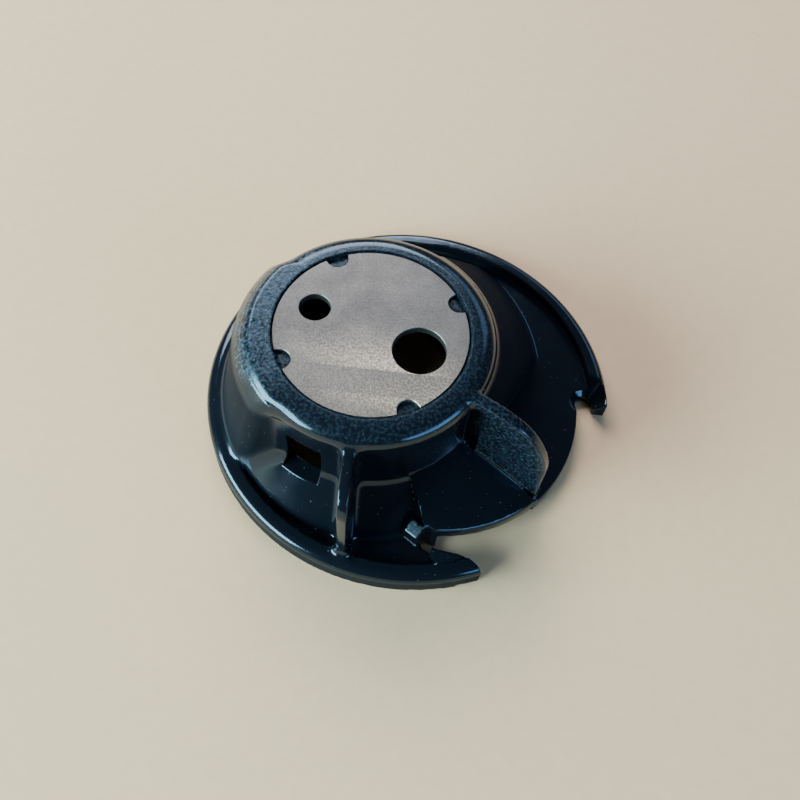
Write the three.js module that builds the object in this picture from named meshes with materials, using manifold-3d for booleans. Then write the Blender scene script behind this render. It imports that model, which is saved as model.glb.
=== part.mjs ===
// Drop-in bobbin case of a sewing machine, drawn mouth down, in millimetres, +Z up.
// The origin is the centre of the round rim, on the plane that the rim rests on.
import * as THREE from "three";
import { mergeVertices } from "three/addons/utils/BufferGeometryUtils.js";
import Module from "manifold-3d";

const wasm = await Module();
wasm.setup();

// ---- driving dimensions -------------------------------------------------------------

// the bobbin that drops in
const bobbinDiameter = 20.3;
const bobbinHeight = 11.7;
const bobbinSideClearance = 0.35;
const bobbinEndClearance = 0.5;

// the whole case
const rimRadius = 20.5;
const rimWidth = 1.7;
const rimHeight = 2.6;
const rimShoulder = 0.8;
const flangeThickness = 1.5;

// the cup, which stands off the centre of the rim
const cupX = -4.12;
const cupY = -1.49;
const cupWall = 0.9;
const mouthLip = 0.4;
const ledgeThickness = 0.65;
const ledgeWidth = 1.3;
const shoulderRadius = 1.4;
const footRise = 6.2;
const footWidth = 3.6;
const footStart = 215;
const footEnd = 298;

// the steel base plate
const plateRadius = 8.9;
const plateThickness = 0.8;
const plateFit = 0.12;
const plateSink = 0.12;
const plateNotchRadius = 1.0;
const plateNotchCount = 4;
const plateNotchAngle = 28;
const plateNotchInset = 0.2;
const smallHoleDiameter = 2.9;
const smallHoleOffset = 5.7;
const bigHoleDiameter = 4.9;
const bigHoleOffset = 4.75;
const holeLineAngle = -19;

// the window and the thread slot in the cup's wall
const windowStart = -124.5;
const windowEnd = -106.5;
const windowBottom = 5.2;
const windowHeight = 4.8;
const slotStart = -31.7;
const slotEnd = -26.0;
const slotReach = 1.2;

// the gap in the rim, its two thread notches and its pointed finger
const gapEdgeX = 1.62;
const gapEdgeY = -0.22;
const gapEdgeRadius = 15.76;
const gapEdgeStart = -85.2;
const fingerTipAngle = -65.6;
const fingerTipBlunt = 0.4;
const fingerShoulderAngle = -68.4;
const fingerShoulderWidth = 2.0;
const fingerWidth = 3.0;
const fingerNotchRadius = 0.75;
const fingerNotchBite = 0.05;
const fingerNotchAngle = -78.5;
const fingerNotchStart = 280;
const fingerNotchEnd = 145;
const sideNotchRadius = 0.85;
const sideNotchAngle = 4.2;
const knobWidth = 1.45;
const knobEnd = 0.7;

// the sloping thread deck beside the gap
const deckStart = -64;
const deckEnd = -28.5;
const deckRise = 6.5;
const deckSlope = 0.52;
const deckThickness = 1.2;
const deckReach = 9;
const deckWall = 1.0;

// the webs: one rib to the finger, one rounded fin beside the deck
const ribX = -4.65;
const ribThickness = 1.0;
const webDrop = 1.6;
const ribCorner = 2.4;
const finThickness = 1.15;
const finAngle = -20.7;
const finLength = 8.1;
const finFlat = 2.3;
const finSlope = 0.594;
const finDrop = 0.4;
const finCorner = 4.5;

// the two skirts that flare from the cup to the rim
const skirtDrop = 1.0;
const leftSkirtTopRadius = 11.9;
const leftSkirtStart = 142;
const leftSkirtSide = 200;
const leftSkirtEnd = 230;
const leftSkirtFaceFall = 0.9;
const rightSkirtTopRadius = 11.5;
const rightSkirtStart = -26;
const rightSkirtSide = 30;
const rightSkirtEnd = 62;
const rightSkirtBaseX = -4.8;
const rightSkirtBaseY = 3.0;
const rightSkirtBaseRadius = 18.1;
const rightSkirtFaceRun = 19.0;
const rightSkirtFaceTurn = 90.7;

// the tension spring and its two screws, on a boss at the back of the cup
const springThickness = 0.25;
const springWidth = 4.0;
const springBottom = 4.6;
const springSeat = 0.1;
const springEnd = 139;
const springFree = 67;
const springContact = 84;
const springLip = 0.7;
const springLipSpan = 5;
const threadHoleStart = 71;
const threadHoleEnd = 75;
const bossDepth = 1.1;
const bossStart = 101;
const bossEnd = 141;
const bossMargin = 0.5;
const fixingScrewAngle = 132;
const adjustingScrewAngle = 109;
const screwShankDiameter = 1.5;
const screwShankFit = 0.25;
const screwHeadDiameter = 2.8;
const screwHeadHeight = 0.8;
const adjustingHeadHeight = 1.0;
const screwHeadGap = 0.25;
const screwHoleFloor = 0.2;
const screwLength = 2.1;
const screwSlotWidth = 0.4;
const screwSlotDepth = 0.45;

// ---- sizes that follow ----------------------------------------------------------------

const degree = Math.PI / 180;
const boreRadius = bobbinDiameter / 2 + bobbinSideClearance;
const cupRadius = boreRadius + cupWall;
const ledgeBottom = mouthLip + bobbinHeight + bobbinEndClearance;
const ledgeTop = ledgeBottom + ledgeThickness;
const plateBottom = ledgeTop + plateFit;
const caseHeight = plateBottom + plateThickness + plateSink;
const rimInnerRadius = rimRadius - rimWidth;
const webTop = caseHeight - webDrop;
const skirtTop = caseHeight - skirtDrop;
const springMiddle = springBottom + springWidth / 2;
const bossRadius = cupRadius + bossDepth;
const springRadius = bossRadius + springSeat;
const past = 1;
const roundSteps = 96;

// ---- solids ---------------------------------------------------------------------------

function solid(geometry) {
  const bare = geometry.clone();
  bare.deleteAttribute("normal");
  bare.deleteAttribute("uv");
  const merged = mergeVertices(bare, 1e-5);
  const mesh = new wasm.Mesh({
    numProp: 3,
    vertProperties: new Float32Array(merged.attributes.position.array),
    triVerts: new Uint32Array(merged.index.array),
  });
  mesh.merge();
  return new wasm.Manifold(mesh);
}

function geometryOf(body) {
  const mesh = body.getMesh();
  const geometry = new THREE.BufferGeometry();
  const positions = new Float32Array(mesh.vertProperties);
  geometry.setAttribute("position", new THREE.BufferAttribute(positions, 3));
  geometry.setIndex(new THREE.BufferAttribute(new Uint32Array(mesh.triVerts), 1));
  geometry.computeVertexNormals();
  return geometry;
}

function point(radius, angle, x = 0, y = 0) {
  return new THREE.Vector2(x + radius * Math.cos(angle * degree), y + radius * Math.sin(angle * degree));
}

function cupPoint(radius, angle) {
  return point(radius, angle, cupX, cupY);
}

// an outline drawn in plan, raised from one level to another
function prism(outline, bottom, top) {
  const shape = new THREE.Shape(outline);
  const geometry = new THREE.ExtrudeGeometry(shape, { depth: top - bottom, bevelEnabled: false });
  geometry.translate(0, 0, bottom);
  return solid(geometry);
}

// a profile of (radius, height) points, from the axis round to the axis, turned about Z
function turned(profile, x = 0, y = 0, steps = roundSteps) {
  const geometry = new THREE.LatheGeometry(profile.map(([r, z]) => new THREE.Vector2(r, z)), steps);
  geometry.rotateX(Math.PI / 2);
  geometry.translate(x, y, 0);
  return solid(geometry);
}

function disc(radius, bottom, top, x = 0, y = 0, steps = roundSteps) {
  return turned([[0, bottom], [radius, bottom], [radius, top], [0, top]], x, y, steps);
}

// the points of an arc, from one angle to another, in steps of about five degrees
function arc(radius, start, end, x = 0, y = 0, step = 5) {
  const count = Math.max(2, Math.ceil(Math.abs(end - start) / step));
  const turn = (end - start) / count;
  return Array.from({ length: count + 1 }, (_, i) => point(radius, start + i * turn, x, y));
}

// a slice of a ring about the cup's axis
function cupSector(inner, outer, start, end, bottom, top) {
  const outline = [...arc(outer, start, end, cupX, cupY), ...arc(inner, end, start, cupX, cupY)];
  return prism(outline, bottom, top);
}

// a slanted cone: one circle low down, a second one with its own centre higher up
function slantedCone(base, crown) {
  const height = crown.z - base.z;
  const geometry = new THREE.LatheGeometry(
    [[0, 0], [base.radius, 0], [crown.radius, height], [0, height]].map(([r, z]) => new THREE.Vector2(r, z)),
    roundSteps,
  );
  geometry.rotateX(Math.PI / 2);
  const leanX = (crown.x - base.x) / height;
  const leanY = (crown.y - base.y) / height;
  const lean = new THREE.Matrix4().set(1, 0, leanX, base.x, 0, 1, leanY, base.y, 0, 0, 1, base.z, 0, 0, 0, 1);
  geometry.applyMatrix4(lean);
  return solid(geometry);
}

// a web that stands up along a line in plan: a side view of (run, height) points, given a thickness
function web(outline, origin, angle, thickness) {
  const shape = new THREE.Shape(outline.map(([run, z]) => new THREE.Vector2(run, z)));
  const geometry = new THREE.ExtrudeGeometry(shape, { depth: thickness, bevelEnabled: false });
  geometry.rotateX(Math.PI / 2);
  geometry.translate(0, thickness, 0);
  geometry.rotateZ(angle * degree);
  geometry.translate(origin.x, origin.y, 0);
  return solid(geometry);
}

// the side view of a web: level up to the end of its flat, then falling to a rounded outer corner
function webProfile(length, rootHeight, endHeight, corner, root, flat = 0) {
  const slope = (rootHeight - endHeight) / (length - flat);
  const start = Math.atan2(slope, 1);
  const centre = [length - corner, endHeight + slope * corner - corner / Math.cos(start)];
  const steps = 6;
  const round = Array.from({ length: steps + 1 }, (_, i) => {
    const turn = Math.PI / 2 - start - ((Math.PI / 2 - start) * i) / steps;
    return [centre[0] + corner * Math.cos(turn), centre[1] + corner * Math.sin(turn)];
  });
  return [[-root, 0], [length, 0], ...round.reverse(), [flat, rootHeight], [-root, rootHeight]];
}

// ---- the moulded case -----------------------------------------------------------------

// everything that the gap, its notches and the finger's point leave open, in plan
function gapOutline() {
  const notch = point(rimRadius - fingerWidth - fingerNotchRadius + fingerNotchBite, fingerNotchAngle);
  const knobInner = rimRadius - knobWidth;
  const side = point(knobInner - sideNotchRadius, sideNotchAngle);
  return [
    ...arc(gapEdgeRadius, gapEdgeStart, 0, gapEdgeX, gapEdgeY, 4),
    ...arc(sideNotchRadius, 180, 0, side.x, side.y, 30),
    new THREE.Vector2(knobInner, knobEnd),
    new THREE.Vector2(rimRadius + past, knobEnd),
    new THREE.Vector2(rimRadius + past, -rimRadius - past),
    point(rimRadius + 2 * past, fingerTipAngle),
    point(rimRadius - fingerTipBlunt, fingerTipAngle),
    point(rimRadius - fingerShoulderWidth, fingerShoulderAngle),
    ...arc(fingerNotchRadius, fingerNotchStart, fingerNotchEnd, notch.x, notch.y, 27),
  ];
}

// a quarter circle in a turned profile, from its side up and round to its top
function roundShoulder(outer, top, radius, steps) {
  return Array.from({ length: steps + 1 }, (_, i) => {
    const turn = (i * 90 * degree) / steps;
    return [outer - radius + radius * Math.cos(turn), top - radius + radius * Math.sin(turn)];
  });
}

function rimRing() {
  const shoulder = roundShoulder(rimRadius, rimHeight, rimShoulder, 4);
  const outer = turned([[0, 0], [rimRadius, 0], ...shoulder, [0, rimHeight]]);
  return outer.subtract(disc(rimInnerRadius, -past, rimHeight + past));
}

// the flat flange that joins the rim to the cup
function flange() {
  return disc(rimRadius - rimWidth / 2, 0, flangeThickness);
}

function cupCore() {
  const shoulder = roundShoulder(cupRadius, caseHeight, shoulderRadius, 6);
  return turned([[0, 0], [cupRadius, 0], ...shoulder, [0, caseHeight]], cupX, cupY);
}

// the cone that the cup's wall spreads into where it meets the flange, in the front pockets
function foot() {
  const outer = cupRadius + footWidth;
  const profile = [[0, 0], [outer, 0], [outer, flangeThickness], [cupRadius, footRise], [0, footRise]];
  const cone = turned(profile, cupX, cupY).intersect(disc(rimRadius - rimWidth / 2, 0, caseHeight));
  return cone.intersect(cupSector(boreRadius, outer + past, footStart, footEnd, 0, footRise + past));
}

// a slanted cone kept to its own sector, and to what the rim's inner wall leaves
function skirt(base, crown, outline) {
  const flare = slantedCone(base, crown);
  const sector = prism(outline, 0, caseHeight);
  return flare.intersect(sector).intersect(disc(rimInnerRadius + rimWidth / 2, 0, caseHeight));
}

function leftSkirt() {
  const crown = { x: cupX, y: cupY, z: skirtTop, radius: leftSkirtTopRadius };
  const base = { x: 0, y: 0, z: 0, radius: rimInnerRadius + rimWidth / 4 };
  const cut = cupPoint(cupRadius, leftSkirtEnd);
  const outline = [
    new THREE.Vector2(cupX, cupY),
    ...arc(rimRadius, leftSkirtStart, leftSkirtSide, cupX, cupY),
    new THREE.Vector2(cut.x - rimRadius, cut.y - leftSkirtFaceFall),
    new THREE.Vector2(cut.x, cut.y),
  ];
  return skirt(base, crown, outline);
}

function rightSkirt() {
  const crown = { x: cupX, y: cupY, z: skirtTop, radius: rightSkirtTopRadius };
  const base = { x: rightSkirtBaseX, y: rightSkirtBaseY, z: flangeThickness, radius: rightSkirtBaseRadius };
  const root = cupPoint(cupRadius + past, rightSkirtStart);
  const face = point(rightSkirtFaceRun, rightSkirtStart + rightSkirtFaceTurn, root.x, root.y);
  const side = arc(rimRadius - cupX, rightSkirtSide, rightSkirtEnd, cupX, cupY);
  return skirt(base, crown, [new THREE.Vector2(cupX, cupY), root, face, ...side]);
}

// a cone about the cup's axis, from the cup's wall down and out along the deck's slope
function deckCone(bottom, height) {
  const outer = cupRadius + deckReach;
  const fallen = height - deckSlope * deckReach;
  const profile = [[0, bottom], [outer, bottom], [outer, fallen], [cupRadius, height], [0, height]];
  return turned(profile, cupX, cupY);
}

function deck() {
  const outer = cupRadius + deckReach + past;
  const sector = cupSector(cupRadius - cupWall / 2, outer, deckStart, deckEnd, 0, deckRise + past);
  return deckCone(0, deckRise).intersect(sector);
}

// the open channel under the deck, on the mouth side
function deckHollow() {
  const outer = cupRadius + deckReach + past;
  const wallTurn = deckWall / (cupRadius + footWidth) / degree;
  const sector = cupSector(cupRadius + deckWall / 2, outer, deckStart + wallTurn, deckEnd, -past, deckRise);
  return deckCone(-past, deckRise - deckThickness).intersect(sector);
}

// the rib's outer end stands on the rim's inner wall
function rib() {
  const root = Math.sqrt(cupRadius ** 2 - (ribX - cupX) ** 2);
  const start = new THREE.Vector2(ribX - ribThickness / 2, cupY - root);
  const end = -Math.sqrt((rimInnerRadius + rimWidth / 3) ** 2 - ribX ** 2);
  const profile = webProfile(start.y - end, webTop, webTop, ribCorner, cupWall / 2);
  return web(profile, start, -90, ribThickness);
}

function fin() {
  const root = cupPoint(cupRadius, slotStart);
  const rootHeight = caseHeight - finDrop;
  const endHeight = rootHeight - finSlope * (finLength - finFlat);
  const profile = webProfile(finLength, rootHeight, endHeight, finCorner, cupWall / 2, finFlat);
  return web(profile, root, finAngle, finThickness);
}

// the thick pad on the back of the cup that both screws thread into
function screwBoss() {
  const bottom = springBottom - bossMargin;
  const top = springBottom + springWidth + bossMargin;
  return cupSector(cupRadius - cupWall / 2, bossRadius, bossStart, bossEnd, bottom, top);
}

// a cylinder that points out from the cup's axis, at the height of the spring's middle
function radialPin(diameter, inner, outer, angle, steps = 24) {
  const geometry = new THREE.CylinderGeometry(diameter / 2, diameter / 2, outer - inner, steps);
  geometry.rotateZ(-Math.PI / 2);
  geometry.translate((inner + outer) / 2, 0, 0);
  geometry.rotateZ(angle * degree);
  geometry.translate(cupX, cupY, springMiddle);
  return solid(geometry);
}

// the round notches in the plate's edge, or the pegs that stand in them
function plateNotches(radius, bottom, top) {
  return Array.from({ length: plateNotchCount }, (_, i) => {
    const centre = cupPoint(plateRadius - plateNotchInset, plateNotchAngle + (i * 360) / plateNotchCount);
    return disc(radius, bottom, top, centre.x, centre.y, 24);
  });
}

// the seat that the plate lies in, with a peg for each of its notches
function plateRecess() {
  const pegRadius = plateNotchRadius - plateFit;
  let recess = disc(plateRadius + plateFit, ledgeTop, caseHeight + past, cupX, cupY);
  for (const peg of plateNotches(pegRadius, ledgeTop - past, caseHeight - plateSink)) {
    recess = recess.subtract(peg);
  }
  return recess;
}

// what is cut through the cup's wall: the window, the thread's slot and its hole under the spring
function wallCuts() {
  const inner = boreRadius - past;
  const outer = cupRadius + past;
  const window = cupSector(inner, outer, windowStart, windowEnd, windowBottom, windowBottom + windowHeight);
  const slot = cupSector(inner, cupRadius + slotReach, slotStart, slotEnd, -past, webTop);
  const holeTop = springBottom + springWidth;
  const threadHole = cupSector(inner, outer, threadHoleStart, threadHoleEnd, springBottom, holeTop);
  return window.add(slot).add(threadHole);
}

function caseBody() {
  let body = flange().add(rimRing()).add(foot()).add(deck());
  body = body.add(leftSkirt()).add(rightSkirt()).add(cupCore()).add(fin()).add(rib()).add(screwBoss());
  body = body.subtract(prism(gapOutline(), -past, caseHeight + past));
  body = body.subtract(deckHollow());
  body = body.subtract(disc(boreRadius, -past, ledgeBottom, cupX, cupY));
  body = body.subtract(disc(plateRadius - ledgeWidth, -past, caseHeight + past, cupX, cupY));
  body = body.subtract(plateRecess());
  body = body.subtract(wallCuts());
  for (const angle of [fixingScrewAngle, adjustingScrewAngle]) {
    const holeDiameter = screwShankDiameter + screwShankFit;
    body = body.subtract(radialPin(holeDiameter, boreRadius + screwHoleFloor, bossRadius + past, angle));
  }
  return geometryOf(body);
}

// ---- the steel plate, the spring and the screws ------------------------------------------

function basePlate() {
  let plate = disc(plateRadius, plateBottom, plateBottom + plateThickness, cupX, cupY);
  for (const notch of plateNotches(plateNotchRadius, 0, caseHeight + past)) {
    plate = plate.subtract(notch);
  }
  const small = cupPoint(smallHoleOffset, holeLineAngle + 180);
  const big = cupPoint(bigHoleOffset, holeLineAngle);
  plate = plate.subtract(disc(smallHoleDiameter / 2, 0, caseHeight + past, small.x, small.y, 36));
  plate = plate.subtract(disc(bigHoleDiameter / 2, 0, caseHeight + past, big.x, big.y, 48));
  return geometryOf(plate);
}

// the leaf's radius at an angle: out on the boss, in against the cup's wall, out at the lip
function leafRadius(angle) {
  const inward = THREE.MathUtils.smoothstep(angle, springContact, bossStart - 1);
  const lip = springLip * THREE.MathUtils.smoothstep(springFree + springLipSpan - angle, 0, springLipSpan);
  return cupRadius + springSeat + (springRadius - cupRadius - springSeat) * inward + lip;
}

function tensionSpring() {
  const step = 2;
  const count = Math.round((springEnd - springFree) / step);
  const turn = (springEnd - springFree) / count;
  const angles = Array.from({ length: count + 1 }, (_, i) => springFree + i * turn);
  const inner = angles.map((angle) => cupPoint(leafRadius(angle), angle));
  const outer = angles.map((angle) => cupPoint(leafRadius(angle) + springThickness, angle));
  let leaf = prism([...outer, ...inner.reverse()], springBottom, springBottom + springWidth);
  for (const angle of [fixingScrewAngle, adjustingScrewAngle]) {
    const holeDiameter = screwShankDiameter + 2 * screwShankFit;
    leaf = leaf.subtract(radialPin(holeDiameter, bossRadius - past, bossRadius + 2 * past, angle));
  }
  return geometryOf(leaf);
}

function screw(angle, headHeight) {
  const seat = springRadius + springThickness + screwHeadGap;
  const top = seat + headHeight;
  let body = radialPin(screwShankDiameter, seat - screwLength, seat + headHeight / 2, angle);
  body = body.add(radialPin(screwHeadDiameter, seat, top, angle, 32));
  // the driver's slot is a bar across the head
  const slot = new THREE.BoxGeometry(screwSlotDepth * 2, screwHeadDiameter * 2, screwSlotWidth);
  slot.translate(top, 0, 0);
  slot.rotateZ(angle * degree);
  slot.translate(cupX, cupY, springMiddle);
  return geometryOf(body.subtract(solid(slot)));
}

// ---- the assembly --------------------------------------------------------------------

const blackPlastic = new THREE.MeshStandardMaterial({ color: 0x0c0f14, roughness: 0.3, metalness: 0 });
const brushedSteel = new THREE.MeshStandardMaterial({ color: 0x9a948c, roughness: 0.42, metalness: 1 });
const springSteel = new THREE.MeshStandardMaterial({ color: 0xb4b6b8, roughness: 0.28, metalness: 1 });
const screwSteel = new THREE.MeshStandardMaterial({ color: 0xa8a49c, roughness: 0.32, metalness: 1 });

function named(name, geometry, material) {
  const mesh = new THREE.Mesh(geometry, material);
  mesh.name = name;
  return mesh;
}

const bobbinCase = new THREE.Group();
bobbinCase.add(named("case_body", caseBody(), blackPlastic));
bobbinCase.add(named("base_plate", basePlate(), brushedSteel));
bobbinCase.add(named("tension_spring", tensionSpring(), springSteel));
bobbinCase.add(named("spring_fixing_screw", screw(fixingScrewAngle, screwHeadHeight), screwSteel));
bobbinCase.add(
  named("tension_adjusting_screw", screw(adjustingScrewAngle, adjustingHeadHeight), screwSteel),
);

export default bobbinCase;
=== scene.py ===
# %% [markdown]
# # A drop-in bobbin case
# The real object is a black plastic moulding about 41 mm across: a cup for the bobbin, a round
# rim that stands off to one side of it, and some thin webs between the two. A steel plate closes
# the cup, and a leaf spring with two small screws on its back brakes the thread. This lesson
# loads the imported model, rebuilds each piece with its fine surface, and paints and lights it.

import math

import bpy
import numpy as np
from mathutils import Matrix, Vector
from mathutils.geometry import tessellate_polygon


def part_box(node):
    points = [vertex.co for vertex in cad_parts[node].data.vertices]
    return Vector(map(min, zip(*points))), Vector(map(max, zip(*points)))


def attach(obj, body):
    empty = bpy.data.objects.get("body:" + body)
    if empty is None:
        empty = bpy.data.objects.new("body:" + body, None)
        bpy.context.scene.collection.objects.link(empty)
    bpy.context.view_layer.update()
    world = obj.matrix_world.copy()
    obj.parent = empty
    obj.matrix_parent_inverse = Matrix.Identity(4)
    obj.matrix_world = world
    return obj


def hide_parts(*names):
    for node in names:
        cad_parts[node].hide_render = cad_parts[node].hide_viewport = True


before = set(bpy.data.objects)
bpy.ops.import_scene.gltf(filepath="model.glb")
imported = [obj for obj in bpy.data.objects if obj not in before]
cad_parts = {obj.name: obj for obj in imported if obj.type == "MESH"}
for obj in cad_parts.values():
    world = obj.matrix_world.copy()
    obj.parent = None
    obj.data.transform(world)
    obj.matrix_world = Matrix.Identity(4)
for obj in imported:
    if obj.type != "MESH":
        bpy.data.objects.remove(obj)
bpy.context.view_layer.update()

# %% [markdown]
# The camera stands in front of the case and looks down on it at sixty degrees, slightly rolled,
# as someone leaning over a table would. It comes first, so that every later piece can be judged
# from the place where it will be seen. A camera's own axes are the columns of its matrix: right,
# up and backwards.

# %% Camera
MM = 0.001
CAMERA_ELEVATION = math.radians(60.06)
CAMERA_ROLL = math.radians(6.55)
CAMERA_DISTANCE = 93.87 * MM
CAMERA_TARGET = np.array([-0.855, -0.155, 0.0]) * MM
CAMERA_LENS, CAMERA_SENSOR, CAMERA_NEAR = 40.5, 36.0, 0.005


def new_object(name, data):
    """An object that carries the data, at the origin of the scene."""
    thing = bpy.data.objects.new(name, data)
    bpy.context.scene.collection.objects.link(thing)
    return thing


def set_axes(thing, right, up, back, place):
    """Turns an object so that its axes lie along three directions, and moves it to a place."""
    matrix = np.eye(4)
    matrix[:3, 0], matrix[:3, 1], matrix[:3, 2], matrix[:3, 3] = right, up, back, place
    thing.matrix_world = Matrix(matrix.tolist())


def make_camera():
    """The camera sits on a line from its target, backwards along the view direction."""
    forward = np.array([0.0, math.cos(CAMERA_ELEVATION), -math.sin(CAMERA_ELEVATION)])
    level = np.array([1.0, 0.0, 0.0])
    above = np.cross(level, forward)
    right = level * math.cos(CAMERA_ROLL) + above * math.sin(CAMERA_ROLL)
    up = -level * math.sin(CAMERA_ROLL) + above * math.cos(CAMERA_ROLL)
    place = CAMERA_TARGET - forward * CAMERA_DISTANCE
    data = bpy.data.cameras.new("camera")
    data.lens = CAMERA_LENS
    data.sensor_width = CAMERA_SENSOR
    data.clip_start = CAMERA_NEAR
    camera = new_object("camera", data)
    set_axes(camera, right, up, -forward, place)
    bpy.context.scene.camera = camera
    print("camera at, mm:", [round(v / MM, 1) for v in camera.matrix_world.translation])


make_camera()

# %% [markdown]
# Every later shape is worked out in millimetres, and its driving sizes come from the packed
# model's boxes: the rim's radius and the height from the case, the cup's centre and the seat of
# the plate from the plate. The other sizes are the moulding's own.

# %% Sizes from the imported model
case_box = [np.array(corner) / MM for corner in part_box("case_body")]
plate_box = [np.array(corner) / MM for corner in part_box("base_plate")]
spring_box = [np.array(corner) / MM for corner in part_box("tension_spring")]

RIM_RADIUS = case_box[1][1]
CASE_HEIGHT = case_box[1][2]
CUP = CUP_X, CUP_Y = (plate_box[0][:2] + plate_box[1][:2]) / 2
PLATE_RADIUS = (plate_box[1][0] - plate_box[0][0]) / 2
PLATE_BOTTOM, PLATE_TOP = plate_box[0][2], plate_box[1][2]
SPRING_BOTTOM, SPRING_TOP = spring_box[0][2], spring_box[1][2]
SPRING_MIDDLE = (SPRING_BOTTOM + SPRING_TOP) / 2

RIM_WIDTH, RIM_HEIGHT, FLANGE = 1.7, 2.6, 1.5
BORE_RADIUS, CUP_RADIUS = 10.5, 11.4
LEDGE_RADIUS, LEDGE_BOTTOM, LEDGE_TOP = 7.6, 12.6, 13.25
print("rim radius", round(RIM_RADIUS, 2), "cup centre", round(CUP_X, 2), round(CUP_Y, 2))

# %% [markdown]
# The moulding has dozens of fillets where webs, skirts and floor run into one another, and no
# two-parameter sheet can branch like that. So it is written as a distance field, a function that
# says for any point how far it is from the plastic, negative inside. Fields join with a smooth
# minimum, which leaves a fillet, and are cut with a smooth maximum, which rounds an edge. These
# few helpers are all the modelling tools that the moulding needs.

# %% Distance fields that join, cut and round
def join(a, b, fillet=0.0):
    """The smaller of two distances, eased by a parabola where they differ by less than fillet."""
    if fillet <= 0:
        return np.minimum(a, b)
    near = np.maximum(fillet - np.abs(a - b), 0) / fillet
    return np.minimum(a, b) - near * near * fillet / 4


def common(a, b, radius=0.0):
    """What two solids share: the larger distance, with the corner a true arc of the radius."""
    if radius <= 0:
        return np.maximum(a, b)
    corner = np.hypot(np.maximum(a + radius, 0), np.maximum(b + radius, 0))
    return np.minimum(np.maximum(a + radius, b + radius), 0) + corner - radius


def cut(a, b, radius=0.0):
    """Solid a without solid b, with the new edge rounded."""
    return common(a, -b, radius)


def about_cup(x, y):
    """Distance from the cup's axis, and the angle round it in degrees."""
    return np.hypot(x - CUP_X, y - CUP_Y), np.degrees(np.arctan2(y - CUP_Y, x - CUP_X))


def side_of(x, y, place, angle):
    """Signed distance to a line in plan through a place; positive on the left of its direction."""
    turn = math.radians(angle)
    return (y - place[1]) * math.cos(turn) - (x - place[0]) * math.sin(turn)


def along_of(x, y, place, angle):
    """Signed distance from a place in plan, measured along a direction."""
    turn = math.radians(angle)
    return (x - place[0]) * math.cos(turn) + (y - place[1]) * math.sin(turn)


def cup_point(radius, angle):
    """A point in plan at a radius and an angle about the cup's axis."""
    turn = math.radians(angle)
    return CUP_X + radius * math.cos(turn), CUP_Y + radius * math.sin(turn)


def sector(x, y, start, end):
    """Distance to a wedge about the cup's axis between two angles less than half a turn apart."""
    return np.maximum(-side_of(x, y, CUP, start), side_of(x, y, CUP, end))


print("field helpers ready")

# %% [markdown]
# First the round parts: the rim with its soft outer shoulder, the flat flange inside it, and
# the cup. The ring that tops the cup has a wide round shoulder, and the wall steps in a little
# under it. In the front pockets a cone spreads from the wall's foot on to the flange.

# %% Rim, flange, cup and foot
RIM_SHOULDER, RIM_INNER_EDGE = 0.95, 0.15
SHOULDER_RADIUS, SHOULDER_REACH, RING_EDGE = 2.2, 11.8, 0.25
RING_BOTTOM, RING_STEP, RING_LOWER_EDGE, RING_FILLET = 12.66, 0.2, 0.12, 0.1
WALL_DROP = 1.2
FOOT_RISE, FOOT_WIDTH, FOOT_START, FOOT_END = 6.2, 3.6, 215.0, 298.0


def rim_field(x, y, z):
    """A ring of rectangular section, its outer top corner an arc and its inner top corner crisp."""
    r = np.hypot(x, y)
    outside = common(r - RIM_RADIUS, z - RIM_HEIGHT, RIM_SHOULDER)
    return common(outside, RIM_RADIUS - RIM_WIDTH - r, RIM_INNER_EDGE)


def flange_field(x, y, z):
    """A disc under the whole case, as thick as the flange."""
    return common(np.hypot(x, y) - (RIM_RADIUS - RIM_WIDTH / 2), z - FLANGE)


def cup_field(x, y, z):
    """A cylinder topped by a wide arc that stops half way round, on a slightly slimmer one."""
    r, _ = about_cup(x, y)
    ring = common(r - SHOULDER_REACH, z - CASE_HEIGHT, SHOULDER_RADIUS)
    ring = common(ring, r - CUP_RADIUS, RING_EDGE)
    ring = common(ring, RING_BOTTOM - z, RING_LOWER_EDGE)
    wall = common(r - (CUP_RADIUS - RING_STEP), z - (CASE_HEIGHT - WALL_DROP))
    return join(ring, wall, RING_FILLET)


def foot_field(x, y, z):
    """A cone that the cup's wall spreads into above the flange, in the front pockets only."""
    r, _ = about_cup(x, y)
    fall = (FOOT_RISE - FLANGE) / FOOT_WIDTH
    cone = (z - FOOT_RISE + fall * (r - CUP_RADIUS)) / math.hypot(1, fall)
    cone = np.maximum(cone, r - CUP_RADIUS - FOOT_WIDTH)
    cone = np.maximum(cone, sector(x, y, FOOT_START, FOOT_END))
    return np.maximum(cone, np.hypot(x, y) - (RIM_RADIUS - RIM_WIDTH / 2))


print("ring on the cup, mm tall:", round(CASE_HEIGHT - RING_BOTTOM, 2))

# %% [markdown]
# The two skirts flare from the cup out to the rim. Each is a slanted cone, one circle lofted to
# another with a different centre, and each stops at a flat end face. The left one carries the
# ring's shoulder outwards; the right one starts a millimetre below the top, which leaves the
# narrow ledge beside the ring.

# %% Skirts
SKIRT_TOP = CASE_HEIGHT - 1.0
LEFT_CROWN, LEFT_BASE, LEFT_START, LEFT_END = 12.5, 19.22, 142.0, 230.0
LEFT_FACE_ANGLE, LEFT_SHOULDER, LEFT_SINK = 182.5, 2.6, 0.02
LEFT_FACE_EDGE, LEFT_BACK_EDGE, LEFT_CUT = 0.8, 1.2, 2
RIGHT_CROWN, RIGHT_BASE, RIGHT_START, RIGHT_END = 11.52, 18.1, -26.0, 62.0
RIGHT_FACE_ANGLE, RIGHT_FACE_OUT = 64.7, 1
RIGHT_BASE_X, RIGHT_BASE_Y = -4.8, 3.0
RIGHT_TOP_EDGE, RIGHT_FACE_EDGE, RIGHT_BACK_EDGE = 0.12, 0.25, 0.3


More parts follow.
